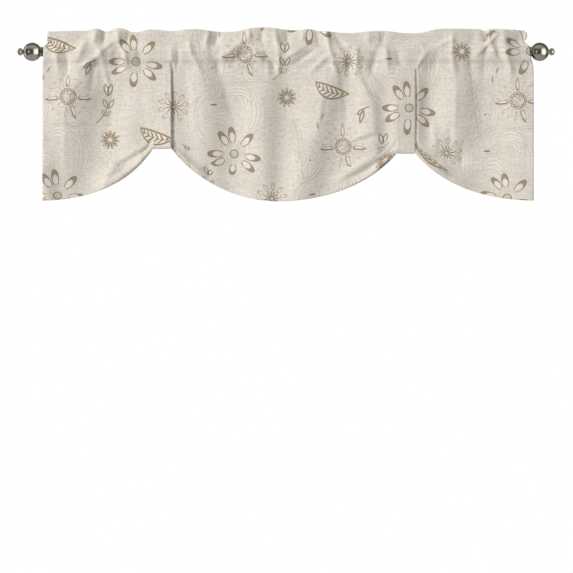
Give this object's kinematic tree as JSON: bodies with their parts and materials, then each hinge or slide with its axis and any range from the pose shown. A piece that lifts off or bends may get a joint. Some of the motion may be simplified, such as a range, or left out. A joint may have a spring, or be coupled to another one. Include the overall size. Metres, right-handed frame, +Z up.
{
  "type": "tie-up valance on a curtain rod",
  "caption": "Printed cloth valance with a gathered heading and rod pocket on a round rod with ball finials, its lower edge lifted into a scallop by flat tie straps.",
  "frame": {"origin": "on the rod's axis, halfway along the rod", "axes": "+X along the rod to the viewer's right, +Y to the wall behind, +Z up; the printed front faces -Y"},
  "size_m": [1.44, 0.0492, 0.4667],
  "materials": {
    "printed_cloth": "slubby linen-look weave, printed",
    "strap_cloth": "the same printed cloth, doubled and pressed flat",
    "rod_metal": "dark brushed nickel",
    "finial_metal": "dark polished nickel"
  },
  "bodies": {
    "root": {"valance_panel": "printed_cloth", "tie_strap_left": "strap_cloth", "tie_strap_right": "strap_cloth", "curtain_rod": "rod_metal", "finial_left": "finial_metal", "finial_right": "finial_metal"}
  },
  "joints": []
}
